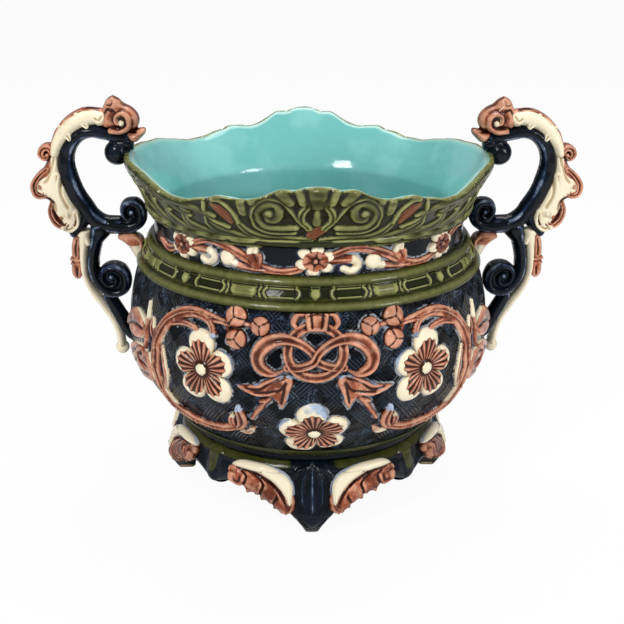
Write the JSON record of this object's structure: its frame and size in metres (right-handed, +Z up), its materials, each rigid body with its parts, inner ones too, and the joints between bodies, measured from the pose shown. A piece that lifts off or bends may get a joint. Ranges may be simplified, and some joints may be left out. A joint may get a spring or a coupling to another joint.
{
  "type": "jardiniere",
  "caption": "Two-handled glazed planter: round bowl with wavy flared rim, moulded bands and applied relief, scroll handles, and a low ring base with scroll feet.",
  "frame": {"origin": "on the floor under the bowl's axis, at the bottom centre of the bounding box", "axes": "+Z up along the bowl's axis, +X towards the right handle, -Y towards the front face"},
  "size_m": [0.388, 0.28, 0.2786],
  "materials": {
    "navy_glaze": "glossy dark navy majolica glaze",
    "olive_glaze": "glossy translucent olive green glaze, darker in the recesses",
    "terracotta_glaze": "satin pink terracotta glaze, paler on the high edges",
    "turquoise_glaze": "glossy turquoise lining glaze inside the bowl",
    "cream_glaze": "satin cream glaze with brown shading"
  },
  "bodies": {
    "root": {"bowl_body": "navy_glaze", "rim_border": "olive_glaze", "neck_roll_upper": "olive_glaze", "fluted_band": "olive_glaze", "neck_roll_lower": "olive_glaze", "base_roll": "olive_glaze", "foot_ring": "navy_glaze", "foot_1_shell_left": "cream_glaze", "foot_1_shell_right": "cream_glaze", "foot_2_shell_left": "cream_glaze", "foot_2_shell_right": "cream_glaze", "foot_3_shell_left": "cream_glaze", "foot_3_shell_right": "cream_glaze", "foot_4_shell_left": "cream_glaze", "foot_4_shell_right": "cream_glaze", "front_knot": "terracotta_glaze", "front_low_flower": "cream_glaze", "front_neck_frieze": "terracotta_glaze", "front_flower_left": "cream_glaze", "front_flower_right": "cream_glaze", "front_bell_leaves_left": "terracotta_glaze", "front_bell_leaves_right": "terracotta_glaze", "front_branch_left": "terracotta_glaze", "front_branch_right": "terracotta_glaze", "front_side_leaf_left": "cream_glaze", "front_side_leaf_right": "cream_glaze", "back_knot": "terracotta_glaze", "back_low_flower": "cream_glaze", "back_neck_frieze": "terracotta_glaze", "back_flower_left": "cream_glaze", "back_flower_right": "cream_glaze", "back_bell_leaves_left": "terracotta_glaze", "back_bell_leaves_right": "terracotta_glaze", "back_branch_left": "terracotta_glaze", "back_branch_right": "terracotta_glaze", "back_side_leaf_left": "cream_glaze", "back_side_leaf_right": "cream_glaze", "handle_right_strap": "navy_glaze", "handle_right_upper_volute": "navy_glaze", "handle_right_crest_leaf": "cream_glaze", "handle_right_acanthus": "cream_glaze", "handle_right_finial": "terracotta_glaze", "handle_right_lower_scroll": "navy_glaze", "handle_right_outer_rib": "cream_glaze", "handle_right_ribbon": "terracotta_glaze", "handle_right_strut": "navy_glaze", "handle_right_bracket": "terracotta_glaze", "handle_right_bud": "cream_glaze", "handle_left_strap": "navy_glaze", "handle_left_upper_volute": "navy_glaze", "handle_left_crest_leaf": "cream_glaze", "handle_left_acanthus": "cream_glaze", "handle_left_finial": "terracotta_glaze", "handle_left_lower_scroll": "navy_glaze", "handle_left_outer_rib": "cream_glaze", "handle_left_ribbon": "terracotta_glaze", "handle_left_strut": "navy_glaze", "handle_left_bracket": "terracotta_glaze", "handle_left_bud": "cream_glaze"}
  },
  "joints": []
}
